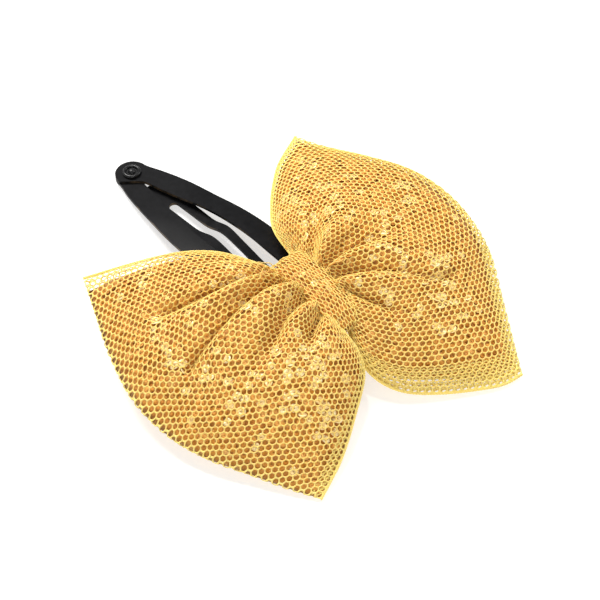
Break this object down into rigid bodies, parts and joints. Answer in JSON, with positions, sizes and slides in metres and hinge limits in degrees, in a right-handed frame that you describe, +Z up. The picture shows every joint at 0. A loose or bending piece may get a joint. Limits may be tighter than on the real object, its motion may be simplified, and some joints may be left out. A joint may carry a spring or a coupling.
{
  "type": "hair bow on snap clip",
  "caption": "Puffy two-loop hair bow of net over sequin cloth, pinched by a centre wrap and glued to the wide end of a sprung steel snap clip.",
  "frame": {"origin": "centre of the flat underside of the clip's wide-end bar, where the clip carries the bow", "axes": "+X along the bow from its left loop to its right loop, +Y along the clip towards its nose, +Z up through the bow's face"},
  "size_m": [0.0708, 0.0778, 0.014],
  "materials": {
    "clip_steel": "satin black paint",
    "net": "yellow hexagonal netting with a nylon sheen",
    "sequin_cloth": "orange-gold woven backing",
    "sequin": "bright gold film",
    "thread": "twisted yellow thread",
    "glue": "cloudy hot-melt glue"
  },
  "bodies": {
    "clip_and_knot": {"clip_frame": "clip_steel", "nose_rivet": "clip_steel", "wrap_net": "net", "wrap_sequin_cloth": "sequin_cloth", "waist_net": "net", "waist_sequin_cloth": "sequin_cloth", "gathering_thread": "thread", "thread_ends": "thread", "glue_pad": "glue", "wrap_stitches": "thread", "sequins_wrap": "sequin"},
    "tongue": {"clip_tongue": "clip_steel"},
    "left_loop": {"net_loop_left": "net", "sequin_cloth_left": "sequin_cloth", "sequins_left": "sequin"},
    "right_loop": {"net_loop_right": "net", "sequin_cloth_right": "sequin_cloth", "sequins_right": "sequin"}
  },
  "joints": [
    {"name": "tongue_snap", "type": "hinge", "parent": "clip_and_knot", "child": "tongue", "pos_m": [0, 0.005, -0.00027], "axis": [-1, 0, 0], "range_deg": [0, 14], "stiffness_Nm_per_rad": 0.002},
    {"name": "left_loop_flex", "type": "hinge", "parent": "clip_and_knot", "child": "left_loop", "pos_m": [-0.0044, 0, 0.0062], "axis": [0, 1, 0], "range_deg": [0, 35], "stiffness_Nm_per_rad": 0.0005},
    {"name": "right_loop_flex", "type": "hinge", "parent": "clip_and_knot", "child": "right_loop", "pos_m": [0.0044, 0, 0.0062], "axis": [0, -1, 0], "range_deg": [0, 35], "stiffness_Nm_per_rad": 0.0005}
  ]
}
